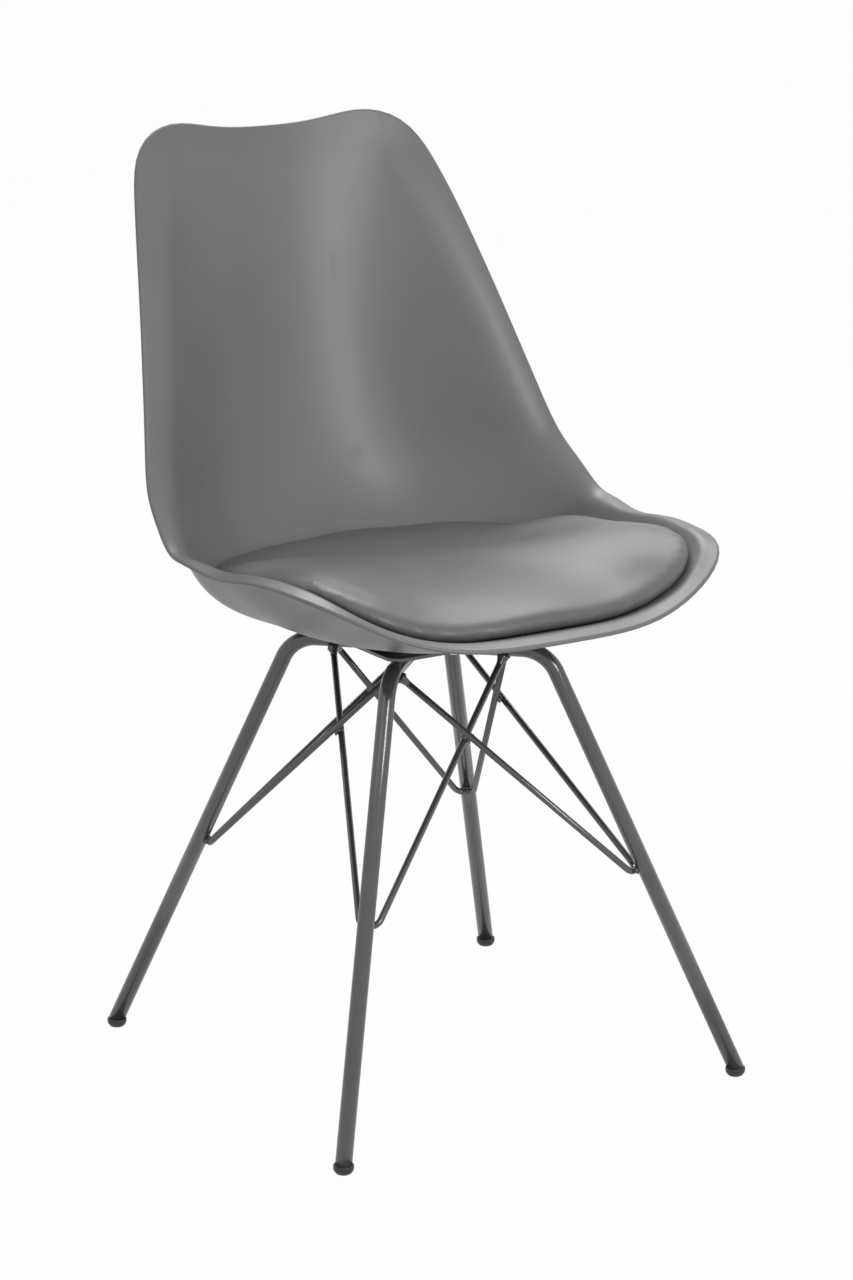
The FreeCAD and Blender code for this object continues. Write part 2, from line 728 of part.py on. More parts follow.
pieces = {
    "seat_shell": seat_shell(),
    "seat_pad_cover": seat_pad_cover(),
    "seat_pad_foam": seat_pad_foam(),
    "seat_pad_base": seat_pad_base(),
    "mounting_plate": mounting_plate(),
    "plate_screws": set_of(plate_screw),
    "plate_washers": set_of(plate_washer),
    "rubber_pads": set_of(rubber_pad),
    "threaded_inserts": set_of(threaded_insert),
}
for corner_name, corner_signs in CORNERS.items():
    pieces["leg_" + corner_name] = leg(corner_signs)
    pieces["foot_cap_" + corner_name] = foot_cap(corner_signs)
    pieces["brace_" + corner_name] = brace(corner_name)

os.makedirs("parts", exist_ok=True)
for piece_name, shape in pieces.items():
    shape.translate(Vector(0, -BASE_FORWARD, 0))
    shape.exportStep("parts/" + piece_name + ".step")
    print(piece_name, "solids", len(shape.Solids), "valid", shape.isValid(), "volume", round(shape.Volume))
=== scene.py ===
import math

import bmesh
import bpy
from mathutils import Matrix, Vector


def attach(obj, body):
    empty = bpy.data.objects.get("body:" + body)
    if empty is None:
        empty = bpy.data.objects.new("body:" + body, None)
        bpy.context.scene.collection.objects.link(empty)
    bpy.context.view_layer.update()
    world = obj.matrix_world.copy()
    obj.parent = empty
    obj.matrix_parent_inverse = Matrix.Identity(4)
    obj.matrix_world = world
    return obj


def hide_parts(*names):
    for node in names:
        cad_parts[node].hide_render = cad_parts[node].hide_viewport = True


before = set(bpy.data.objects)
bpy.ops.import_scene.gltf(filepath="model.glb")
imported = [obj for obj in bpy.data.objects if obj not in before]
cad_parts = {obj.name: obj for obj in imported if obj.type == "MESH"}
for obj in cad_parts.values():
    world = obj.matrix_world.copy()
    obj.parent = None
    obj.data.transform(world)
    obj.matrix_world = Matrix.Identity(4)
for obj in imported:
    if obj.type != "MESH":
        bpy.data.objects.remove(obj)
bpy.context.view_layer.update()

# Lengths are in millimetres up to the making of a mesh, which is in metres.
MM = 0.001
UP = Vector((0, 0, 1))
# The pieces are made about the middle of the base, which lies this far in front of the origin.
BASE_FORWARD = 18.3

# Base
TUBE_OD = 15.0
TUBE_BEND_RADIUS = 35.0
TUBE_AXIS_HEIGHT = 397.2
FOOT_REACH = 211.2
KNEE_REACH = 84.1
TUBE_INNER_END = 13.0
TUBE_CUT_HEIGHT = 8.6
CAP_OD = 18.4
CAP_COLLAR = 3.4
CAP_FLAT_OD = 8.6
CAP_SHOULDER_OD = 15.0
CAP_SHOULDER_HEIGHT = 1.7
ROD_OD = 6.0
BRACE_HEIGHT_SHARE = 0.416
OUTER_BRACE_TOP = 26.4
INNER_BRACE_TOP = 39.7
ARM_SPLAY = 5.6
ARM_DROP = 8.0
WELD_GAP = 0.3
BOSS_BOTTOM = 409.9
SCREW_CIRCLE_RADIUS = 59.0
SCREW_COUNT = 4
CORNERS = {
    "front_left": (1, -1),
    "rear_left": (1, 1),
    "rear_right": (-1, 1),
    "front_right": (-1, -1),
}
OUTER_BRACES = ("front_left", "rear_right")

# Shell
SEAT_PAN_TOP = 420.4
SHELL_WALL = 4.5
# The rim is a flat band on the seat and flares softly on the back: (distance along the middle line, size)
RIM_BAND = [(210, 12.0), (330, 4.0)]
RIM_CURL = [(210, 8.0), (330, 24.0), (480, 40.0)]
RIM_TIP = [(210, 0.25), (430, 0.0)]
RISE_REFERENCE = 225.0
MOUNT_FLAT_RADIUS = 44.0
MIDDLE_LINE = [
    (-242, 38), (-215, 35.5), (-170, 21), (-120, 8), (-60, 0.5), (0, 0), (60, 0.8), (115, 12),
    (163, 44), (198, 100), (221, 170), (239, 258), (256, 345), (272, 428),
]
RIM_OUTLINE = [
    (0, 0), (3, 60), (11, 105.5), (23, 149), (39, 186.5), (58, 205.5), (81, 215.5), (113, 220),
    (161, 227), (226, 230.5), (321, 234.5), (414, 230), (543, 211.5), (683, 183.5), (772, 162),
    (803, 148.5), (818, 131), (825.5, 108), (820, 60), (817, 0),
]
SIDE_RISE = [
    (0, 48), (60, 86), (120, 103.5), (230, 95), (320, 110), (400, 132), (500, 142.5), (600, 145),
    (700, 130), (770, 97.5), (825, 42),
]
SIDE_LEAN = [
    (0, 1), (180, -2.5), (300, 23), (360, 43.5), (425, 53), (490, 66.5), (563, 75.5), (655, 79),
    (835, 79),
]
SIDE_POWER = [(0, 2.45), (130, 2.4), (250, 3.05), (340, 4.0), (420, 2.4), (560, 2.1)]
SIDE_FLAT = [(0, 44), (250, 36.5), (420, 16), (560, 0)]
# Half the distance over which a slope is taken
SLOPE_REACH = 0.5

# Seat pad
CUSHION_GAP = 0.6
CUSHION_ROLL = 8.0
CUSHION_ROLL_TURN = 140.0
CUSHION_MIDDLE = 53.3
CUSHION_PUFF = 9.6
CUSHION_OUTLINE = [
    (24, 0), (30, 75), (38, 128), (50, 169), (78, 193), (130, 203), (190, 206), (250, 207.5),
    (305, 203), (350, 189), (385, 162), (408, 106), (417, 0),
]
# The pad's cover is cut into even faces, swells for some frames and keeps this much of it at most
PAD_FACE_SIZE = 5.0
SWELL_FRAMES = 20
SWELL_LIMIT = 2.0
# How far a face looks up before it may swell, and over what change it becomes free
SWELL_FREE_FROM = 0.15
SWELL_FREE_OVER = 0.35
COVER_CLOTH = {
    "quality": 6,
    "mass": 0.35,
    "tension_stiffness": 18,
    "compression_stiffness": 18,
    "shear_stiffness": 8,
    "bending_stiffness": 0.6,
    "use_pressure": True,
    "uniform_pressure_force": 4,
}

# Studio: places in metres, turns in degrees, lens and sensor in millimetres, powers in watts
CAMERA_AZIMUTH = -32.18
CAMERA_ELEVATION = 15.0
CAMERA_ROLL = -0.204
CAMERA_DISTANCE = 3.3413
CAMERA_AIM = Vector((0, -0.0316, 0.4031))
CAMERA_LENS = 103.1
CAMERA_SENSOR = 36
CAMERA_CLIP = (0.05, 60)
# Each lamp: name, place, aim, width and height, power
LAMPS = [
    ("front_strip", (0.1, -3.0, 1.75), (0, 0, 0.5), (0.9, 1.5), 48),
    ("top_box", (0.9, 1.5, 2.6), (0, 0, 0.5), (1.6, 1.2), 42),
    ("left_box", (-2.4, -1.0, 1.8), (0, 0, 0.45), (1.2, 1.6), 4),
]
# Strength of the white surroundings: as light on the chair, and as seen
WORLD_LIGHT = 0.5
WORLD_SEEN = 1.0
FLOOR_HALF_WIDTH = 60
FLOOR_GREY = 0.46
FLOOR_ROUGHNESS = 0.55
# Share of its own white that the floor shows, over what the lamps and shadows give it
FLOOR_GLOW = 0.97


# Finishes


class Wire:
    """An output of a shader node that can stand in sums."""

    def __init__(self, finish, socket):
        self.finish = finish
        self.socket = socket

    def __add__(self, other):
        return self.finish.sum("ADD", self, other)

    __radd__ = __add__

    def __sub__(self, other):
        return self.finish.sum("SUBTRACT", self, other)

    def __rsub__(self, other):
        return self.finish.sum("SUBTRACT", other, self)

    def __mul__(self, other):
        return self.finish.sum("MULTIPLY", self, other)

    __rmul__ = __mul__

    def __pow__(self, other):
        return self.finish.sum("POWER", self, other)


class Finish:
    """A material in the making, with its main shader."""

    def __init__(self, name, **plain):
        self.material = bpy.data.materials.new(name)
        self.material.use_nodes = True
        self.tree = self.material.node_tree
        self.shader = next(node for node in self.tree.nodes if node.type == "BSDF_PRINCIPLED")
        for socket, value in plain.items():
            self.shader.inputs[socket.replace("_", " ")].default_value = value
        self.spot = self.node("ShaderNodeTexCoord", output="Object")

    def node(self, kind, settings=None, sockets=None, output=0):
        """A new node: its settings first, then the values or links of its sockets."""
        made = self.tree.nodes.new(kind)
        for name, value in (settings or {}).items():
            setattr(made, name, value)
        for name, value in (sockets or {}).items():
            self.feed(made.inputs[name], value)
        return Wire(self, made.outputs[output])

    def feed(self, socket, value):
        if isinstance(value, Wire):
            self.tree.links.new(value.socket, socket)
        else:
            socket.default_value = value

    def sum(self, operation, first, second):
        return self.node("ShaderNodeMath", {"operation": operation}, {0: first, 1: second})

    def step(self, value, low, high):
        """0 below low and 1 above high, with a soft change between."""
        settings = {"interpolation_type": "SMOOTHSTEP"}
        return self.node("ShaderNodeMapRange", settings, {"Value": value, "From Min": low, "From Max": high})

    def cloud(self, scale, detail=3.0, stretch=None):
        """Soft random patches, scale to the metre."""
        where = self.spot
        if stretch:
            where = self.node("ShaderNodeVectorMath", {"operation": "MULTIPLY"}, {0: where, 1: stretch})
        return self.node("ShaderNodeTexNoise", {}, {"Vector": where, "Scale": scale, "Detail": detail})

    def cells(self, scale, feature="DISTANCE_TO_EDGE"):
        """Random cells, scale to the metre."""
        return self.node("ShaderNodeTexVoronoi", {"feature": feature}, {"Vector": self.spot, "Scale": scale})

    def height(self):
        """Height above the floor in metres."""
        return self.node("ShaderNodeSeparateXYZ", {}, {0: self.spot}, "Z")

    def blend(self, share, first, second):
        """One colour turning into another."""
        return self.node("ShaderNodeMix", {"data_type": "RGBA"}, {0: share, 6: first, 7: second}, 2)

    def paint(self, colour, roughness):
        self.feed(self.shader.inputs["Base Color"], colour)
        self.feed(self.shader.inputs["Roughness"], roughness)

    def relief(self, *layers):
        """Small heights: (height, depth in millimetres) for each layer."""
        normal = None
        for height, depth in layers:
            sockets = {"Height": height, "Distance": depth * MM, "Strength": 1.0}
            if normal:
                sockets["Normal"] = normal
            normal = self.node("ShaderNodeBump", {}, sockets)
        self.feed(self.shader.inputs["Normal"], normal)


def grey(level, warm=0.0):
    """Colour near grey: warm above 0 is reddish, below 0 bluish."""
    return (level * (1 + warm), level, level * (1 - warm), 1)


def shell_plastic():
    """Grey polypropylene with the faint cloudiness and fine grain of its mould."""
    finish = Finish("shell_plastic", IOR=1.49)
    cloudy = finish.step(finish.cloud(9, 4), 0.35, 0.65)
    speck = finish.step(finish.cloud(900, 2), 0.62, 0.75)
    colour = finish.blend(cloudy, grey(0.151, 0.012), grey(0.162, 0.008))
    colour = finish.blend(speck * 0.2, colour, grey(0.125))
    scuffs = finish.step(finish.cloud(60, 5, (1, 1, 0.15)), 0.6, 0.72)
    finish.paint(colour, 0.4 + cloudy * 0.04 + scuffs * 0.05)
    grain = finish.cloud(2600, 2)
    finish.relief((grain, 0.012))
    return finish.material


def pad_leather():
    """Smooth grey artificial leather with a fine pebbled grain."""
    finish = Finish("pad_leather", IOR=1.5)
    cloudy = finish.step(finish.cloud(14, 4), 0.35, 0.65)
    pebbles = finish.step(finish.cells(850), 0.0, 0.25)
    colour = finish.blend(cloudy, grey(0.12, -0.02), grey(0.131, -0.015))
    colour = finish.blend((1 - pebbles) * 0.35, colour, grey(0.088, -0.015))
    finish.paint(colour, 0.38 + cloudy * 0.04 + (1 - pebbles) * 0.1)
    creases = finish.cloud(120, 4, (1, 1.6, 1))
    finish.relief((creases, 0.02), (pebbles, 0.015))
    return finish.material


def powder_coat(name, level):
    """Dark satin powder coat with orange peel."""
    finish = Finish(name, IOR=1.7)
    cloudy = finish.step(finish.cloud(35, 3), 0.35, 0.65)
    peel = finish.cloud(750, 2)
    colour = finish.blend(cloudy, grey(level, 0.05), grey(level * 1.15, 0.03))
    worn = finish.step(finish.cloud(240, 5), 0.68, 0.78) * (1 - finish.step(finish.height(), 0.03, 0.09))
    colour = finish.blend(worn * 0.6, colour, grey(level * 1.8))
    finish.paint(colour, 0.13 + peel * 0.08 + worn * 0.1)
    finish.relief((peel, 0.02))
    return finish.material


def cap_plastic():
    """Black moulded plastic, dull and scuffed near the floor."""
    finish = Finish("cap_plastic", IOR=1.48)
    low = 1 - finish.step(finish.height(), 0.0005, 0.004)
    scuffs = finish.step(finish.cloud(700, 4), 0.45, 0.7) * low
    colour = finish.blend(scuffs, grey(0.018), grey(0.07))
    finish.paint(colour, 0.38 + finish.cloud(500, 2) * 0.1 + scuffs * 0.2)
    finish.relief((finish.cloud(2400, 2), 0.015))
    return finish.material


def zinc_steel():
    """Zinc-plated steel with turned marks and a dull bloom."""
    finish = Finish("zinc_steel", Metallic=1.0)
    bloom = finish.step(finish.cloud(420, 4), 0.4, 0.65)
    finish.paint(finish.blend(bloom, grey(0.52, 0.01), grey(0.4, 0.02)), 0.28 + bloom * 0.2)
    finish.relief((finish.cloud(1800, 2, (1, 1, 6)), 0.015))
    return finish.material


def pad_rubber():
    """Black rubber with a dusty bloom."""
    finish = Finish("pad_rubber", IOR=1.52)
    bloom = finish.step(finish.cloud(300, 4), 0.4, 0.7)
    finish.paint(finish.blend(bloom, grey(0.02), grey(0.05)), 0.62 + bloom * 0.2)
    finish.relief((finish.cloud(1500, 3), 0.04))
    return finish.material


def insert_brass():
    """Plain brass, a little tarnished."""
    finish = Finish("insert_brass", Metallic=1.0)
    tarnish = finish.step(finish.cloud(500, 4), 0.4, 0.7)
    finish.paint(finish.blend(tarnish, (0.72, 0.52, 0.24, 1), (0.5, 0.33, 0.14, 1)), 0.3 + tarnish * 0.2)
    finish.relief((finish.cloud(2200, 2), 0.01))
    return finish.material


def disc_plastic():
    """Plain dark plastic of the disc inside the pad."""
    finish = Finish("disc_plastic", IOR=1.49)
    cloudy = finish.step(finish.cloud(90, 3), 0.4, 0.6)
    finish.paint(finish.blend(cloudy, grey(0.05), grey(0.065)), 0.45 + cloudy * 0.1)
    finish.relief((finish.cloud(1600, 2), 0.02))
    return finish.material


# Lines and surfaces


def natural_spline(stations):
    """Smooth curve through (place, value) pairs, straight beyond its ends."""
    xs = [float(station[0]) for station in stations]
    ys = [float(station[1]) for station in stations]
    count = len(xs)
    gaps = [xs[i + 1] - xs[i] for i in range(count - 1)]
    middle = [1.0] * count
    right = [0.0] * count
    for i in range(1, count - 1):
        middle[i] = 2 * (gaps[i - 1] + gaps[i])
        right[i] = 6 * ((ys[i + 1] - ys[i]) / gaps[i] - (ys[i] - ys[i - 1]) / gaps[i - 1])
    for i in range(2, count - 1):
        weight = gaps[i - 1] / middle[i - 1]
        middle[i] -= weight * gaps[i - 1]
        right[i] -= weight * right[i - 1]
    bend = [0.0] * count
    for i in range(count - 2, 0, -1):
        bend[i] = (right[i] - gaps[i] * bend[i + 1]) / middle[i]

    def value(x):
        i = 0
        while i < count - 2 and x > xs[i + 1]:
            i += 1
        gap = gaps[i]
        slope = (ys[i + 1] - ys[i]) / gap - gap * (2 * bend[i] + bend[i + 1]) / 6
        if x <= xs[0]:
            return ys[0] + slope * (x - xs[0])
        cubic = (bend[i + 1] - bend[i]) / (6 * gap)
        if x >= xs[-1]:
            return ys[-1] + (slope + bend[i] * gap + 3 * cubic * gap * gap) * (x - xs[-1])
        t = x - xs[i]
        return ys[i] + t * (slope + t * (bend[i] / 2 + t * cubic))

    return value


def eased_steps(stations):
    """Value that eases from each station to the next and stays level beyond the ends."""
    def value(x):
        if x <= stations[0][0]:
            return stations[0][1]
        for before, after in zip(stations, stations[1:]):
            if x <= after[0]:
                t = (x - before[0]) / (after[0] - before[0])
                return before[1] + (after[1] - before[1]) * t * t * (3 - 2 * t)
        return stations[-1][1]

    return value


def distances(points):
    run = [0.0]
    for start, end in zip(points, points[1:]):
        run.append(run[-1] + math.dist(start, end))
    return run


line_run = distances(MIDDLE_LINE)
line_y = natural_spline([(run, point[0]) for run, point in zip(line_run, MIDDLE_LINE)])
line_rise = natural_spline([(run, point[1]) for run, point in zip(line_run, MIDDLE_LINE)])
pan_middle = line_run[MIDDLE_LINE.index((0, 0))]
rise_at = natural_spline(SIDE_RISE)
lean_at = natural_spline(SIDE_LEAN)
power_at = eased_steps(SIDE_POWER)
flat_at = eased_steps(SIDE_FLAT)
band_at = eased_steps(RIM_BAND)
curl_at = eased_steps(RIM_CURL)
tip_at = eased_steps(RIM_TIP)


def side_rise(along, across):
    flat = flat_at(along)
    share = max(0.0, abs(across) - flat) / (RISE_REFERENCE - flat)
    return rise_at(along) * share ** power_at(along)


def place(along, across, rise):
    """Point at a rise above the shell's middle line."""
    lean = math.radians(lean_at(along))
    y = line_y(along) - rise * math.sin(lean)
    z = SEAT_PAN_TOP + line_rise(along) + rise * math.cos(lean)
    return Vector((across, y, z))


def dish_point(along, across):
    return place(along, across, side_rise(along, across))


def closed_outline(stations, half_count):
    """Places along a smooth outline and its mirror image, with the outward direction at each."""
    before = [(point[0], -point[1]) for point in stations[3:0:-1]]
    after = [(point[0], -point[1]) for point in stations[-2:-5:-1]]
    points = before + stations + after
    run = distances(points)
    along = natural_spline([(place_on, point[0]) for place_on, point in zip(run, points)])
    across = natural_spline([(place_on, point[1]) for place_on, point in zip(run, points)])
    start = run[len(before)]
    step = (run[len(before) + len(stations) - 1] - start) / half_count
    half = []
    for i in range(half_count + 1):
        t = start + step * i
        direction = (along(t + 1) - along(t - 1), across(t + 1) - across(t - 1))
        length = math.hypot(direction[0], direction[1])
        half.append(((along(t), across(t)), (-direction[1] / length, direction[0] / length)))
    half[0] = ((half[0][0][0], 0.0), (-1.0, 0.0))
    half[-1] = ((half[-1][0][0], 0.0), (1.0, 0.0))
    mirrored = [((spot[0], -spot[1]), (out[0], -out[1])) for spot, out in reversed(half[1:-1])]
    return half + mirrored


def inward(outline, inset):
    return [(spot[0] - out[0] * inset, spot[1] - out[1] * inset) for spot, out in outline]


def rim_foot(spot):
    """Where the side starts to turn out, with the widths of the turn and of the band beyond it."""
    (along, across), (out_along, out_across) = spot
    curl = curl_at(along)
    depth = curl + band_at(along)
    return (along - out_along * depth, across - out_across * depth), curl, depth


def rim_point(spot, inset):
    """Point of the sitting side at an inset from the rim, with the side turned out into the band."""
    (along, across), (out_along, out_across) = spot
    foot, curl, depth = rim_foot(spot)
    rise_out = side_rise(foot[0] + out_along * SLOPE_REACH, foot[1] + out_across * SLOPE_REACH)
    rise_in = side_rise(foot[0] - out_along * SLOPE_REACH, foot[1] - out_across * SLOPE_REACH)
    slope = (rise_out - rise_in) / (2 * SLOPE_REACH)
    tip = tip_at(along)
    run = depth - inset
    if run <= curl:
        extra = slope * run - (slope + tip) * run * run / (2 * curl)
    else:
        extra = (slope - tip) * curl / 2 - tip * (run - curl)
    return place(along - out_along * inset, across - out_across * inset, side_rise(*foot) + extra)


def fan_rings(outer, shares):
    """Rings on the sitting side, spread from the flat middle of the pan out to the outer spots."""
    rings = []
    for share in shares:
        ring = []
        for along, across in outer:
            turn = math.atan2(across, along - pan_middle)
            inner_along = pan_middle + MOUNT_FLAT_RADIUS * math.cos(turn)
            inner_across = MOUNT_FLAT_RADIUS * math.sin(turn)
            here = (
                inner_along + (along - inner_along) * share,
                inner_across + (across - inner_across) * share,
            )
            if share <= 0:
                ring.append(Vector((inner_across, inner_along - pan_middle, SEAT_PAN_TOP)))
            else:
                ring.append(dish_point(*here))
        rings.append(ring)
    return rings


def ring_normals(rings):
    """Unit directions square to the surface at each ring point, plumb on the first ring."""
    last = len(rings) - 1
    normals = [[UP.copy() for point in rings[0]]]
    for i in range(1, last + 1):
        ring = rings[i]
        row = []
        for j in range(len(ring)):
            outward = rings[min(i + 1, last)][j] - rings[i - 1][j]
            sideways = ring[(j + 1) % len(ring)] - ring[j - 1]
            row.append(outward.cross(sideways).normalized())
        normals.append(row)
    return normals


def shifted(rings, normals, distance):
    moved = []
    for ring, row in zip(rings, normals):
        moved.append([point + normal * distance for point, normal in zip(ring, row)])
    return moved


def disc_rings(ring, shares):
    """Rings inside a level ring, down to near its middle."""
    middle = sum(ring, Vector()) / len(ring)
    return [[middle + (point - middle) * share for point in ring] for share in shares]


# Meshes


def show(name, mesh, finish):
    """A piece of the chair in its finish."""
    piece = bpy.data.objects.new(name, mesh)
    bpy.context.scene.collection.objects.link(piece)
    mesh.materials.clear()
    mesh.materials.append(finish)
    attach(piece, "root")
    return piece


def add_rings(build, rings, ends=(True, True)):
    """Quads between closed rings, with each end filled by a fan if it is asked for."""
    rows = [[build.verts.new(point * MM) for point in ring] for ring in rings]
    count = len(rows[0])
    for row, following in zip(rows, rows[1:]):
        for j in range(count):
            k = (j + 1) % count
            build.faces.new((row[j], row[k], following[k], following[j]))
    for row, ring, filled in ((rows[0], rings[0], ends[0]), (rows[-1], rings[-1], ends[1])):
        if filled:
            middle = build.verts.new(sum(ring, Vector()) / count * MM)
            for j in range(count):
                build.faces.new((row[j], row[(j + 1) % count], middle))


def finished_mesh(name, build):
    """Smooth-shaded mesh with its faces turned outward."""
    bmesh.ops.recalc_face_normals(build, faces=build.faces)
    mesh = bpy.data.meshes.new(name)
    build.to_mesh(mesh)
    build.free()
    mesh.transform(Matrix.Translation((0, -BASE_FORWARD * MM, 0)))
    for face in mesh.polygons:
        face.use_smooth = True
    return mesh


def subdivided(piece, levels):
    smoother = piece.modifiers.new("rounding", "SUBSURF")
    smoother.levels = levels
    smoother.render_levels = levels
    return piece


def settled(piece):
    """The same piece with its modifiers made part of its mesh."""
    seen = piece.evaluated_get(bpy.context.evaluated_depsgraph_get())
    mesh = bpy.data.meshes.new_from_object(seen)
    piece.modifiers.clear()
    piece.data = mesh
    return piece


def smoothed(piece, turns):
    """The same piece with its small unevenness rubbed out."""
    smoother = piece.modifiers.new("evening", "SMOOTH")
    smoother.factor = 0.5
    smoother.iterations = turns
    return settled(piece)


def ring_about(middle, aside, across, radius, count):
    """Points round a middle, in the plane of two unit directions."""
    points = []
    for i in range(count):
        turn = 2 * math.pi * i / count
        points.append(middle + (aside * math.cos(turn) + across * math.sin(turn)) * radius)
    return points


def crossways(way):
    """Two unit directions square to a way and to each other."""
    helper = UP if abs(way.z) < 0.9 else Vector((1, 0, 0))
    aside = way.cross(helper).normalized()
    return aside, way.cross(aside).normalized()


def turned(build, foot, way, profile, count=40, uneven=0.0):
    """Turned form about an axis: profile holds (distance along the way, radius)."""
    aside, across = crossways(way)
    rings = []
    for along, radius in profile:
        ring = []
        for i, point in enumerate(ring_about(foot + way * along, aside, across, radius, count)):
            turn = 2 * math.pi * i / count
            lump = 1 + uneven * (math.sin(3 * turn + along) + 0.6 * math.sin(5 * turn + 2 * along))
            ring.append(foot + way * along + (point - foot - way * along) * lump)
        rings.append(ring)
    add_rings(build, rings)


def bent_line(points, bend_radius, steps):
    """Points of a line with a round bend at each corner."""
    line = [points[0]]
    for before, corner, after in zip(points, points[1:], points[2:]):
        back = (before - corner).normalized()
        ahead = (after - corner).normalized()
        half = back.angle(ahead) / 2
        inside = (back + ahead).normalized()
        middle = corner + inside * (bend_radius / math.sin(half))
        first = corner + back * (bend_radius / math.tan(half)) - middle
        last = corner + ahead * (bend_radius / math.tan(half)) - middle
        turn = first.angle(last)
        for i in range(steps + 1):
            share = i / steps
            swung = first * math.sin(turn * (1 - share)) + last * math.sin(turn * share)
            line.append(middle + swung.normalized() * bend_radius)
    line.append(points[-1])
    return line


def add_bar(build, line, diameter, count, ends=(True, True)):
    """Round bar along a flat line, whose section keeps its turn."""
    flat_way = (line[1] - line[0]).cross(line[-1] - line[-2]).normalized()
    rings = []
    for i, point in enumerate(line):
        before = (point - line[i - 1]).normalized() if i else None
        after = (line[i + 1] - point).normalized() if i < len(line) - 1 else None
        way = ((before or after) + (after or before)).normalized()
        rings.append(ring_about(point, flat_way, way.cross(flat_way).normalized(), diameter / 2, count))
    add_rings(build, rings, ends)


# Shell


def make_shell():
    """Moulded dish with its turned-out rim and the four bosses under the pan."""
    outline = closed_outline(RIM_OUTLINE, 48)
    shares = (0, 0.04, 0.08, 0.13, 0.18, 0.24, 0.3, 0.37, 0.44, 0.52, 0.6, 0.68, 0.76, 0.84, 0.92, 1)
    sitting = fan_rings([rim_foot(spot)[0] for spot in outline], shares)
    half_wall = SHELL_WALL / 2
    for share in (0.12, 0.24, 0.36, 0.48, 0.6, 0.75, 0.9):
        ring = []
        for spot in outline:
            depth = rim_foot(spot)[2]
            ring.append(rim_point(spot, depth + (half_wall - depth) * share))
        sitting.append(ring)
    lip = [rim_point(spot, half_wall) for spot in outline]
    tip = [rim_point(spot, 0) for spot in outline]
    normals = ring_normals(sitting + [lip, tip])
    underside = shifted(sitting, normals, -SHELL_WALL)
    edge = []
    for angle in range(0, 181, 20):
        turn = math.radians(angle)
        ring = []
        for point, end, normal in zip(lip, tip, normals[-2]):
            outward = (end - point).normalized()
            middle = point - normal * half_wall
            ring.append(middle + (normal * math.cos(turn) + outward * math.sin(turn)) * half_wall)
        edge.append(ring)
    rings = disc_rings(sitting[0], (0.35, 0.7)) + sitting + edge
    rings += underside[::-1] + disc_rings(underside[0], (0.7, 0.35))
    build = bmesh.new()
    add_rings(build, rings)
    shell = show("moulded_shell", finished_mesh("moulded_shell", build), shell_plastic())
    subdivided(shell, 1)
    bosses = bmesh.new()
    profile = [
        (0, 5), (0, 9.8), (0.3, 10.6), (1, 11), (3.5, 11), (5, 11.6), (6.4, 13), (7.5, 15.5),
        (8.2, 12),
    ]
    for i in range(SCREW_COUNT):
        turn = 2 * math.pi * i / SCREW_COUNT
        aside = SCREW_CIRCLE_RADIUS * math.cos(turn)
        ahead = SCREW_CIRCLE_RADIUS * math.sin(turn)
        turned(bosses, Vector((aside, ahead, BOSS_BOTTOM)), UP, profile, 48)
    boss_mesh = finished_mesh("shell_bosses", bosses)
    show("shell_bosses", boss_mesh, shell.data.materials[0])
    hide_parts("seat_shell")


# Seat pad


def surface_frame(spot, outward):
    """Point of the sitting side with its outward direction and its normal."""
    along, across = spot
    step_along, step_across = outward[0] * SLOPE_REACH, outward[1] * SLOPE_REACH
    ahead = dish_point(along + step_along, across + step_across)
    behind = dish_point(along - step_along, across - step_across)
    left = dish_point(along - step_across, across + step_along)
    right = dish_point(along + step_across, across - step_along)
    tangent = (ahead - behind).normalized()
    return dish_point(along, across), tangent, (left - right).cross(tangent).normalized()


def pad_rings():
    """Rings round the seat pad: its underside, its rolled edge and its puffed top."""
    outline = closed_outline(CUSHION_OUTLINE, 40)
    seat_spots = inward(outline, CUSHION_ROLL)
    under = fan_rings(seat_spots, [i / 12 for i in range(13)])
    rings = shifted(under, ring_normals(under), CUSHION_GAP)
    frames = [surface_frame(spot, corner[1]) for spot, corner in zip(seat_spots, outline)]
    for i in range(1, 11):
        turn = math.radians(CUSHION_ROLL_TURN * i / 10)
        out = CUSHION_ROLL * math.sin(turn)
        lift = CUSHION_GAP + CUSHION_ROLL * (1 - math.cos(turn))
        rings.append([point + tangent * out + normal * lift for point, tangent, normal in frames])
    top_edge = rings[-1]
    middle_z = SEAT_PAN_TOP + CUSHION_MIDDLE
    for i in range(1, 18):
        share = 1 - i / 18
        puff = CUSHION_PUFF * (1 - share ** 4)
        ring = []
        for start in top_edge:
            rise = (start.z - middle_z) * share ** 2
            ring.append(Vector((start.x * share, start.y * share, middle_z + rise + puff)))
        rings.append(ring)
    return rings


def make_pad():
    """Seat pad: a closed cover blown up a little over its filling."""
    build = bmesh.new()
    add_rings(build, pad_rings())
    pad = show("seat_pad", finished_mesh("seat_pad", build), pad_leather())
    remesh = pad.modifiers.new("even_faces", "REMESH")
    remesh.mode = "VOXEL"
    remesh.voxel_size = PAD_FACE_SIZE * MM
    smoothed(pad, 6)
    blow_up(pad)
    smoothed(pad, 14)
    for face in pad.data.polygons:
        face.use_smooth = True
    subdivided(pad, 1)
    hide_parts("seat_pad_cover", "seat_pad_foam")


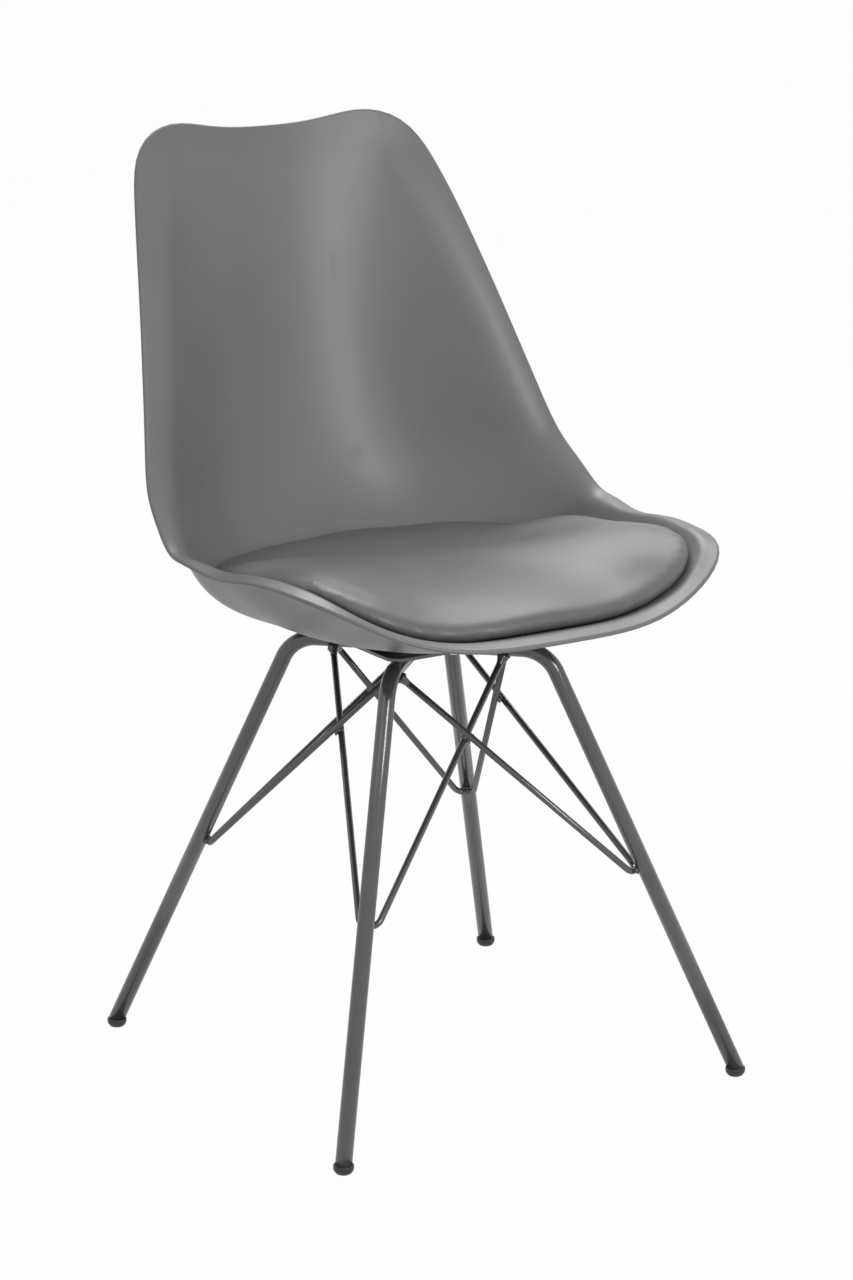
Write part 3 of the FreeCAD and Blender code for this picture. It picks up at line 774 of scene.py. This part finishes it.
def blow_up(pad):
    """Lets the cover swell for a moment, then keeps a small part of it on the free top."""
    before = [vertex.co.copy() for vertex in pad.data.vertices]
    cloth = pad.modifiers.new("cover", "CLOTH")
    for name, value in COVER_CLOTH.items():
        setattr(cloth.settings, name, value)
    cloth.settings.effector_weights.gravity = 0
    for number in range(1, SWELL_FRAMES + 1):
        bpy.context.scene.frame_set(number)
    settled(pad)
    bpy.context.scene.frame_set(1)
    most = SWELL_LIMIT * MM
    for vertex, start in zip(pad.data.vertices, before):
        move = vertex.co - start
        if move.length > most:
            move *= most / move.length
        free = min(1.0, max(0.0, (vertex.normal.z - SWELL_FREE_FROM) / SWELL_FREE_OVER))
        vertex.co = start + move * free


# Base


def corner_point(corner, reach, height):
    return Vector((corner[0] * reach, corner[1] * reach, height))


def leg_ends(corner):
    """Axis points of a tube: where its leg is cut, its knee and its closed inner end."""
    foot = corner_point(corner, FOOT_REACH, TUBE_CUT_HEIGHT)
    knee = corner_point(corner, KNEE_REACH, TUBE_AXIS_HEIGHT)
    inner = corner_point(corner, TUBE_INNER_END / math.sqrt(2), TUBE_AXIS_HEIGHT)
    return foot, knee, inner


def make_leg(name, corner, finish):
    foot, knee, inner = leg_ends(corner)
    line = bent_line([foot.lerp(knee, -0.01), knee, inner], TUBE_BEND_RADIUS, 20)
    build = bmesh.new()
    add_bar(build, line, TUBE_OD, 48)
    leg = show("tube_" + name, finished_mesh("tube_" + name, build), finish)
    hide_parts("leg_" + name)


def arm_target(corner, side, top):
    """Where an arm aims at the level run of the tube at a corner, on the side that it comes from."""
    foot, knee, inner = leg_ends(corner)
    along = (inner - knee).normalized()
    aside = along.cross(UP)
    if aside.dot(side) < 0:
        aside = -aside
    return knee + along * top + aside * ARM_SPLAY - UP * ARM_DROP


def brace_line(name):
    """The three corners of a brace's axis and the radius of its bend."""
    corner = CORNERS[name]
    foot, knee, inner = leg_ends(corner)
    tip = foot + (knee - foot) * BRACE_HEIGHT_SHARE
    top = OUTER_BRACE_TOP if name in OUTER_BRACES else INNER_BRACE_TOP
    neighbours = [(-corner[0], corner[1]), (corner[0], -corner[1])]
    targets = [arm_target(other, tip, top) for other in neighbours]
    ways = [(target - tip).normalized() for target in targets]
    middle_way = (ways[0] + ways[1]).normalized()
    leg_way = (knee - foot).normalized()
    clearance = TUBE_OD / 2 + WELD_GAP + ROD_OD / 2
    bend_reach = clearance / math.sin(middle_way.angle(leg_way))
    radius = bend_reach / (1 / math.sin(ways[0].angle(ways[1]) / 2) - 1)
    return targets, ways, tip, radius, tip + middle_way * bend_reach, leg_way


def make_brace(name, finish):
    """Bent rod with the weld collars where it meets the tubes."""
    targets, ways, tip, radius, bend_middle, leg_way = brace_line(name)
    build = bmesh.new()
    line = bent_line([targets[0] + ways[0] * 4, tip, targets[1] + ways[1] * 4], radius, 24)
    add_bar(build, line, ROD_OD, 28)
    collar = [(-8, 2.6), (-7.5, 3.05), (-5, 3.3), (-2.5, 4.0), (-0.5, 5.2), (1, 5.6), (2.5, 4.6)]
    for target, way in zip(targets, ways):
        turned(build, target, way, collar, 28, 0.035)
    nearest = tip + leg_way * (bend_middle - tip).dot(leg_way)
    side = (bend_middle - nearest).normalized()
    across = side.cross(leg_way).normalized()
    for turn in (-1, 1):
        bead_foot = nearest + side * (TUBE_OD / 2 - 1.2) + across * turn * 2.5
        bead = [(-1.2, 1), (-0.6, 3), (0.6, 3.8), (1.8, 3.6), (2.8, 2.6), (3.4, 1)]
        turned(build, bead_foot, side, bead, 20, 0.05)
    rod = show("rod_" + name, finished_mesh("rod_" + name, build), finish)
    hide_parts("brace_" + name)


def make_crossing_welds(finish):
    """Beads of weld in the corners where two rods pass each other."""
    build = bmesh.new()
    names = list(CORNERS)
    for name, following in zip(names, names[1:] + names[:1]):
        pair = []
        for one, other in ((name, following), (following, name)):
            targets, ways, tip = brace_line(one)[:3]
            other_tip = brace_line(other)[2]
            reach = max(range(2), key=lambda i: (targets[i] - tip).dot(other_tip - tip))
            pair.append((tip, ways[reach]))
        (start_a, way_a), (start_b, way_b) = pair
        gap = start_b - start_a
        turn = way_a.dot(way_b)
        along_a = (gap.dot(way_a) - gap.dot(way_b) * turn) / (1 - turn * turn)
        along_b = (gap.dot(way_a) * turn - gap.dot(way_b)) / (1 - turn * turn)
        spot = (start_a + way_a * along_a + start_b + way_b * along_b) / 2
        for bisector in ((way_a + way_b).normalized(), (way_a - way_b).normalized()):
            for sign in (-1, 1):
                bead = [(-1, 1.0), (0, 2.4), (2.5, 2.5), (4.5, 1.9), (6.2, 1.1), (7, 0.4)]
                turned(build, spot, bisector * sign, bead, 16, 0.04)
    show("rod_welds", finished_mesh("rod_welds", build), finish)


def make_cap(name, corner, finish):
    """Black foot cap: a flat face on the floor, a rounded shoulder and a collar round the tube."""
    foot = corner_point(corner, FOOT_REACH, 0)
    radius = CAP_OD / 2
    profile = [
        (0, CAP_FLAT_OD / 2 - 1), (0, CAP_FLAT_OD / 2), (0.15, 5.2), (0.6, 6.4), (1.2, 7.2),
        (CAP_SHOULDER_HEIGHT, CAP_SHOULDER_OD / 2), (3.2, 8.6), (4.4, 9.0),
        (TUBE_CUT_HEIGHT - CAP_COLLAR, radius - 0.02), (TUBE_CUT_HEIGHT - 0.8, radius),
        (TUBE_CUT_HEIGHT - 0.25, radius - 0.25), (TUBE_CUT_HEIGHT, radius - 0.8), (TUBE_CUT_HEIGHT, 7.2),
    ]
    build = bmesh.new()
    turned(build, foot, UP, profile, 56)
    cap = show("foot_" + name, finished_mesh("foot_" + name, build), finish)
    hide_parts("foot_cap_" + name)


def dress(node_name, finish):
    """A better finish on a solid that stays as it is."""
    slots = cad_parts[node_name].material_slots
    for slot in slots:
        slot.link = "OBJECT"
        slot.material = finish


# Studio


def aim_camera():
    """Camera at the place, turn and lens found for the photograph."""
    data = bpy.data.cameras.new("camera")
    data.sensor_width = CAMERA_SENSOR
    data.lens = CAMERA_LENS
    data.clip_start, data.clip_end = CAMERA_CLIP
    camera = bpy.data.objects.new("camera", data)
    bpy.context.scene.collection.objects.link(camera)
    azimuth = math.radians(CAMERA_AZIMUTH)
    elevation = math.radians(CAMERA_ELEVATION)
    roll = math.radians(CAMERA_ROLL)
    back = Vector((
        math.sin(azimuth) * math.cos(elevation),
        -math.cos(azimuth) * math.cos(elevation),
        math.sin(elevation),
    ))
    right = UP.cross(back).normalized()
    top = back.cross(right)
    rolled_right = right * math.cos(roll) + top * math.sin(roll)
    rolled_top = top * math.cos(roll) - right * math.sin(roll)
    turn = Matrix((rolled_right, rolled_top, back)).transposed()
    camera.matrix_world = Matrix.Translation(CAMERA_AIM + back * CAMERA_DISTANCE) @ turn.to_4x4()
    bpy.context.scene.camera = camera


def soft_lamp(name, spot, aim, size, power):
    """Broad rectangular lamp at a spot, turned to an aim."""
    data = bpy.data.lights.new(name, "AREA")
    data.shape = "RECTANGLE"
    data.size, data.size_y = size
    data.energy = power
    lamp = bpy.data.objects.new(name, data)
    bpy.context.scene.collection.objects.link(lamp)
    lamp.location = spot
    lamp.rotation_euler = (Vector(aim) - Vector(spot)).to_track_quat("-Z", "Y").to_euler()


def seen_ray(tree):
    """1 for what the camera, a gloss or a clear material sees, else 0."""
    path = tree.nodes.new("ShaderNodeLightPath")
    last = path.outputs["Is Camera Ray"]
    for name in ("Is Glossy Ray", "Is Transmission Ray"):
        either = tree.nodes.new("ShaderNodeMath")
        either.operation = "MAXIMUM"
        tree.links.new(last, either.inputs[0])
        tree.links.new(path.outputs[name], either.inputs[1])
        last = either.outputs[0]
    return last


def light_studio():
    world = bpy.data.worlds.new("studio")
    bpy.context.scene.world = world
    world.use_nodes = True
    tree = world.node_tree
    background = tree.nodes["Background"]
    background.inputs["Color"].default_value = (1, 1, 1, 1)
    level = tree.nodes.new("ShaderNodeMapRange")
    level.inputs["To Min"].default_value = WORLD_LIGHT
    level.inputs["To Max"].default_value = WORLD_SEEN
    tree.links.new(seen_ray(tree), level.inputs["Value"])
    tree.links.new(level.outputs[0], background.inputs["Strength"])
    for lamp in LAMPS:
        soft_lamp(*lamp)


def lay_floor():
    """White floor that keeps the chair's shadow and goes over into the white behind."""
    build = bmesh.new()
    bmesh.ops.create_grid(build, x_segments=8, y_segments=8, size=FLOOR_HALF_WIDTH)
    mesh = bpy.data.meshes.new("floor")
    build.to_mesh(mesh)
    build.free()
    material = bpy.data.materials.new("floor_white")
    material.use_nodes = True
    tree = material.node_tree
    shader = next(node for node in tree.nodes if node.type == "BSDF_PRINCIPLED")
    shader.inputs["Base Color"].default_value = grey(FLOOR_GREY)
    shader.inputs["Roughness"].default_value = FLOOR_ROUGHNESS
    glow = tree.nodes.new("ShaderNodeEmission")
    mix = tree.nodes.new("ShaderNodeMixShader")
    share = tree.nodes.new("ShaderNodeMath")
    share.operation = "MULTIPLY"
    share.inputs[1].default_value = FLOOR_GLOW
    tree.links.new(seen_ray(tree), share.inputs[0])
    tree.links.new(share.outputs[0], mix.inputs[0])
    tree.links.new(shader.outputs[0], mix.inputs[1])
    tree.links.new(glow.outputs[0], mix.inputs[2])
    output = next(node for node in tree.nodes if node.type == "OUTPUT_MATERIAL")
    tree.links.new(mix.outputs[0], output.inputs["Surface"])
    mesh.materials.append(material)
    floor = bpy.data.objects.new("floor", mesh)
    bpy.context.scene.collection.objects.link(floor)


aim_camera()
light_studio()
lay_floor()
bpy.context.scene.view_settings.view_transform = "Standard"

make_shell()
make_pad()
tube_coat = powder_coat("tube_coat", 0.058)
rod_coat = powder_coat("rod_coat", 0.052)
black_caps = cap_plastic()
for corner_name, corner_signs in CORNERS.items():
    make_leg(corner_name, corner_signs, tube_coat)
    make_brace(corner_name, rod_coat)
    make_cap(corner_name, corner_signs, black_caps)
make_crossing_welds(rod_coat)
zinc = zinc_steel()
# Painted light: the plate's coat is set lighter than the tubes' coat (0.08 against 0.058) so that the plate
# does not go black in the shade under the shell.
dress("mounting_plate", powder_coat("plate_coat_painted_light", 0.08))
dress("plate_screws", zinc)
dress("plate_washers", zinc)
dress("rubber_pads", pad_rubber())
dress("threaded_inserts", insert_brass())
dress("seat_pad_base", disc_plastic())
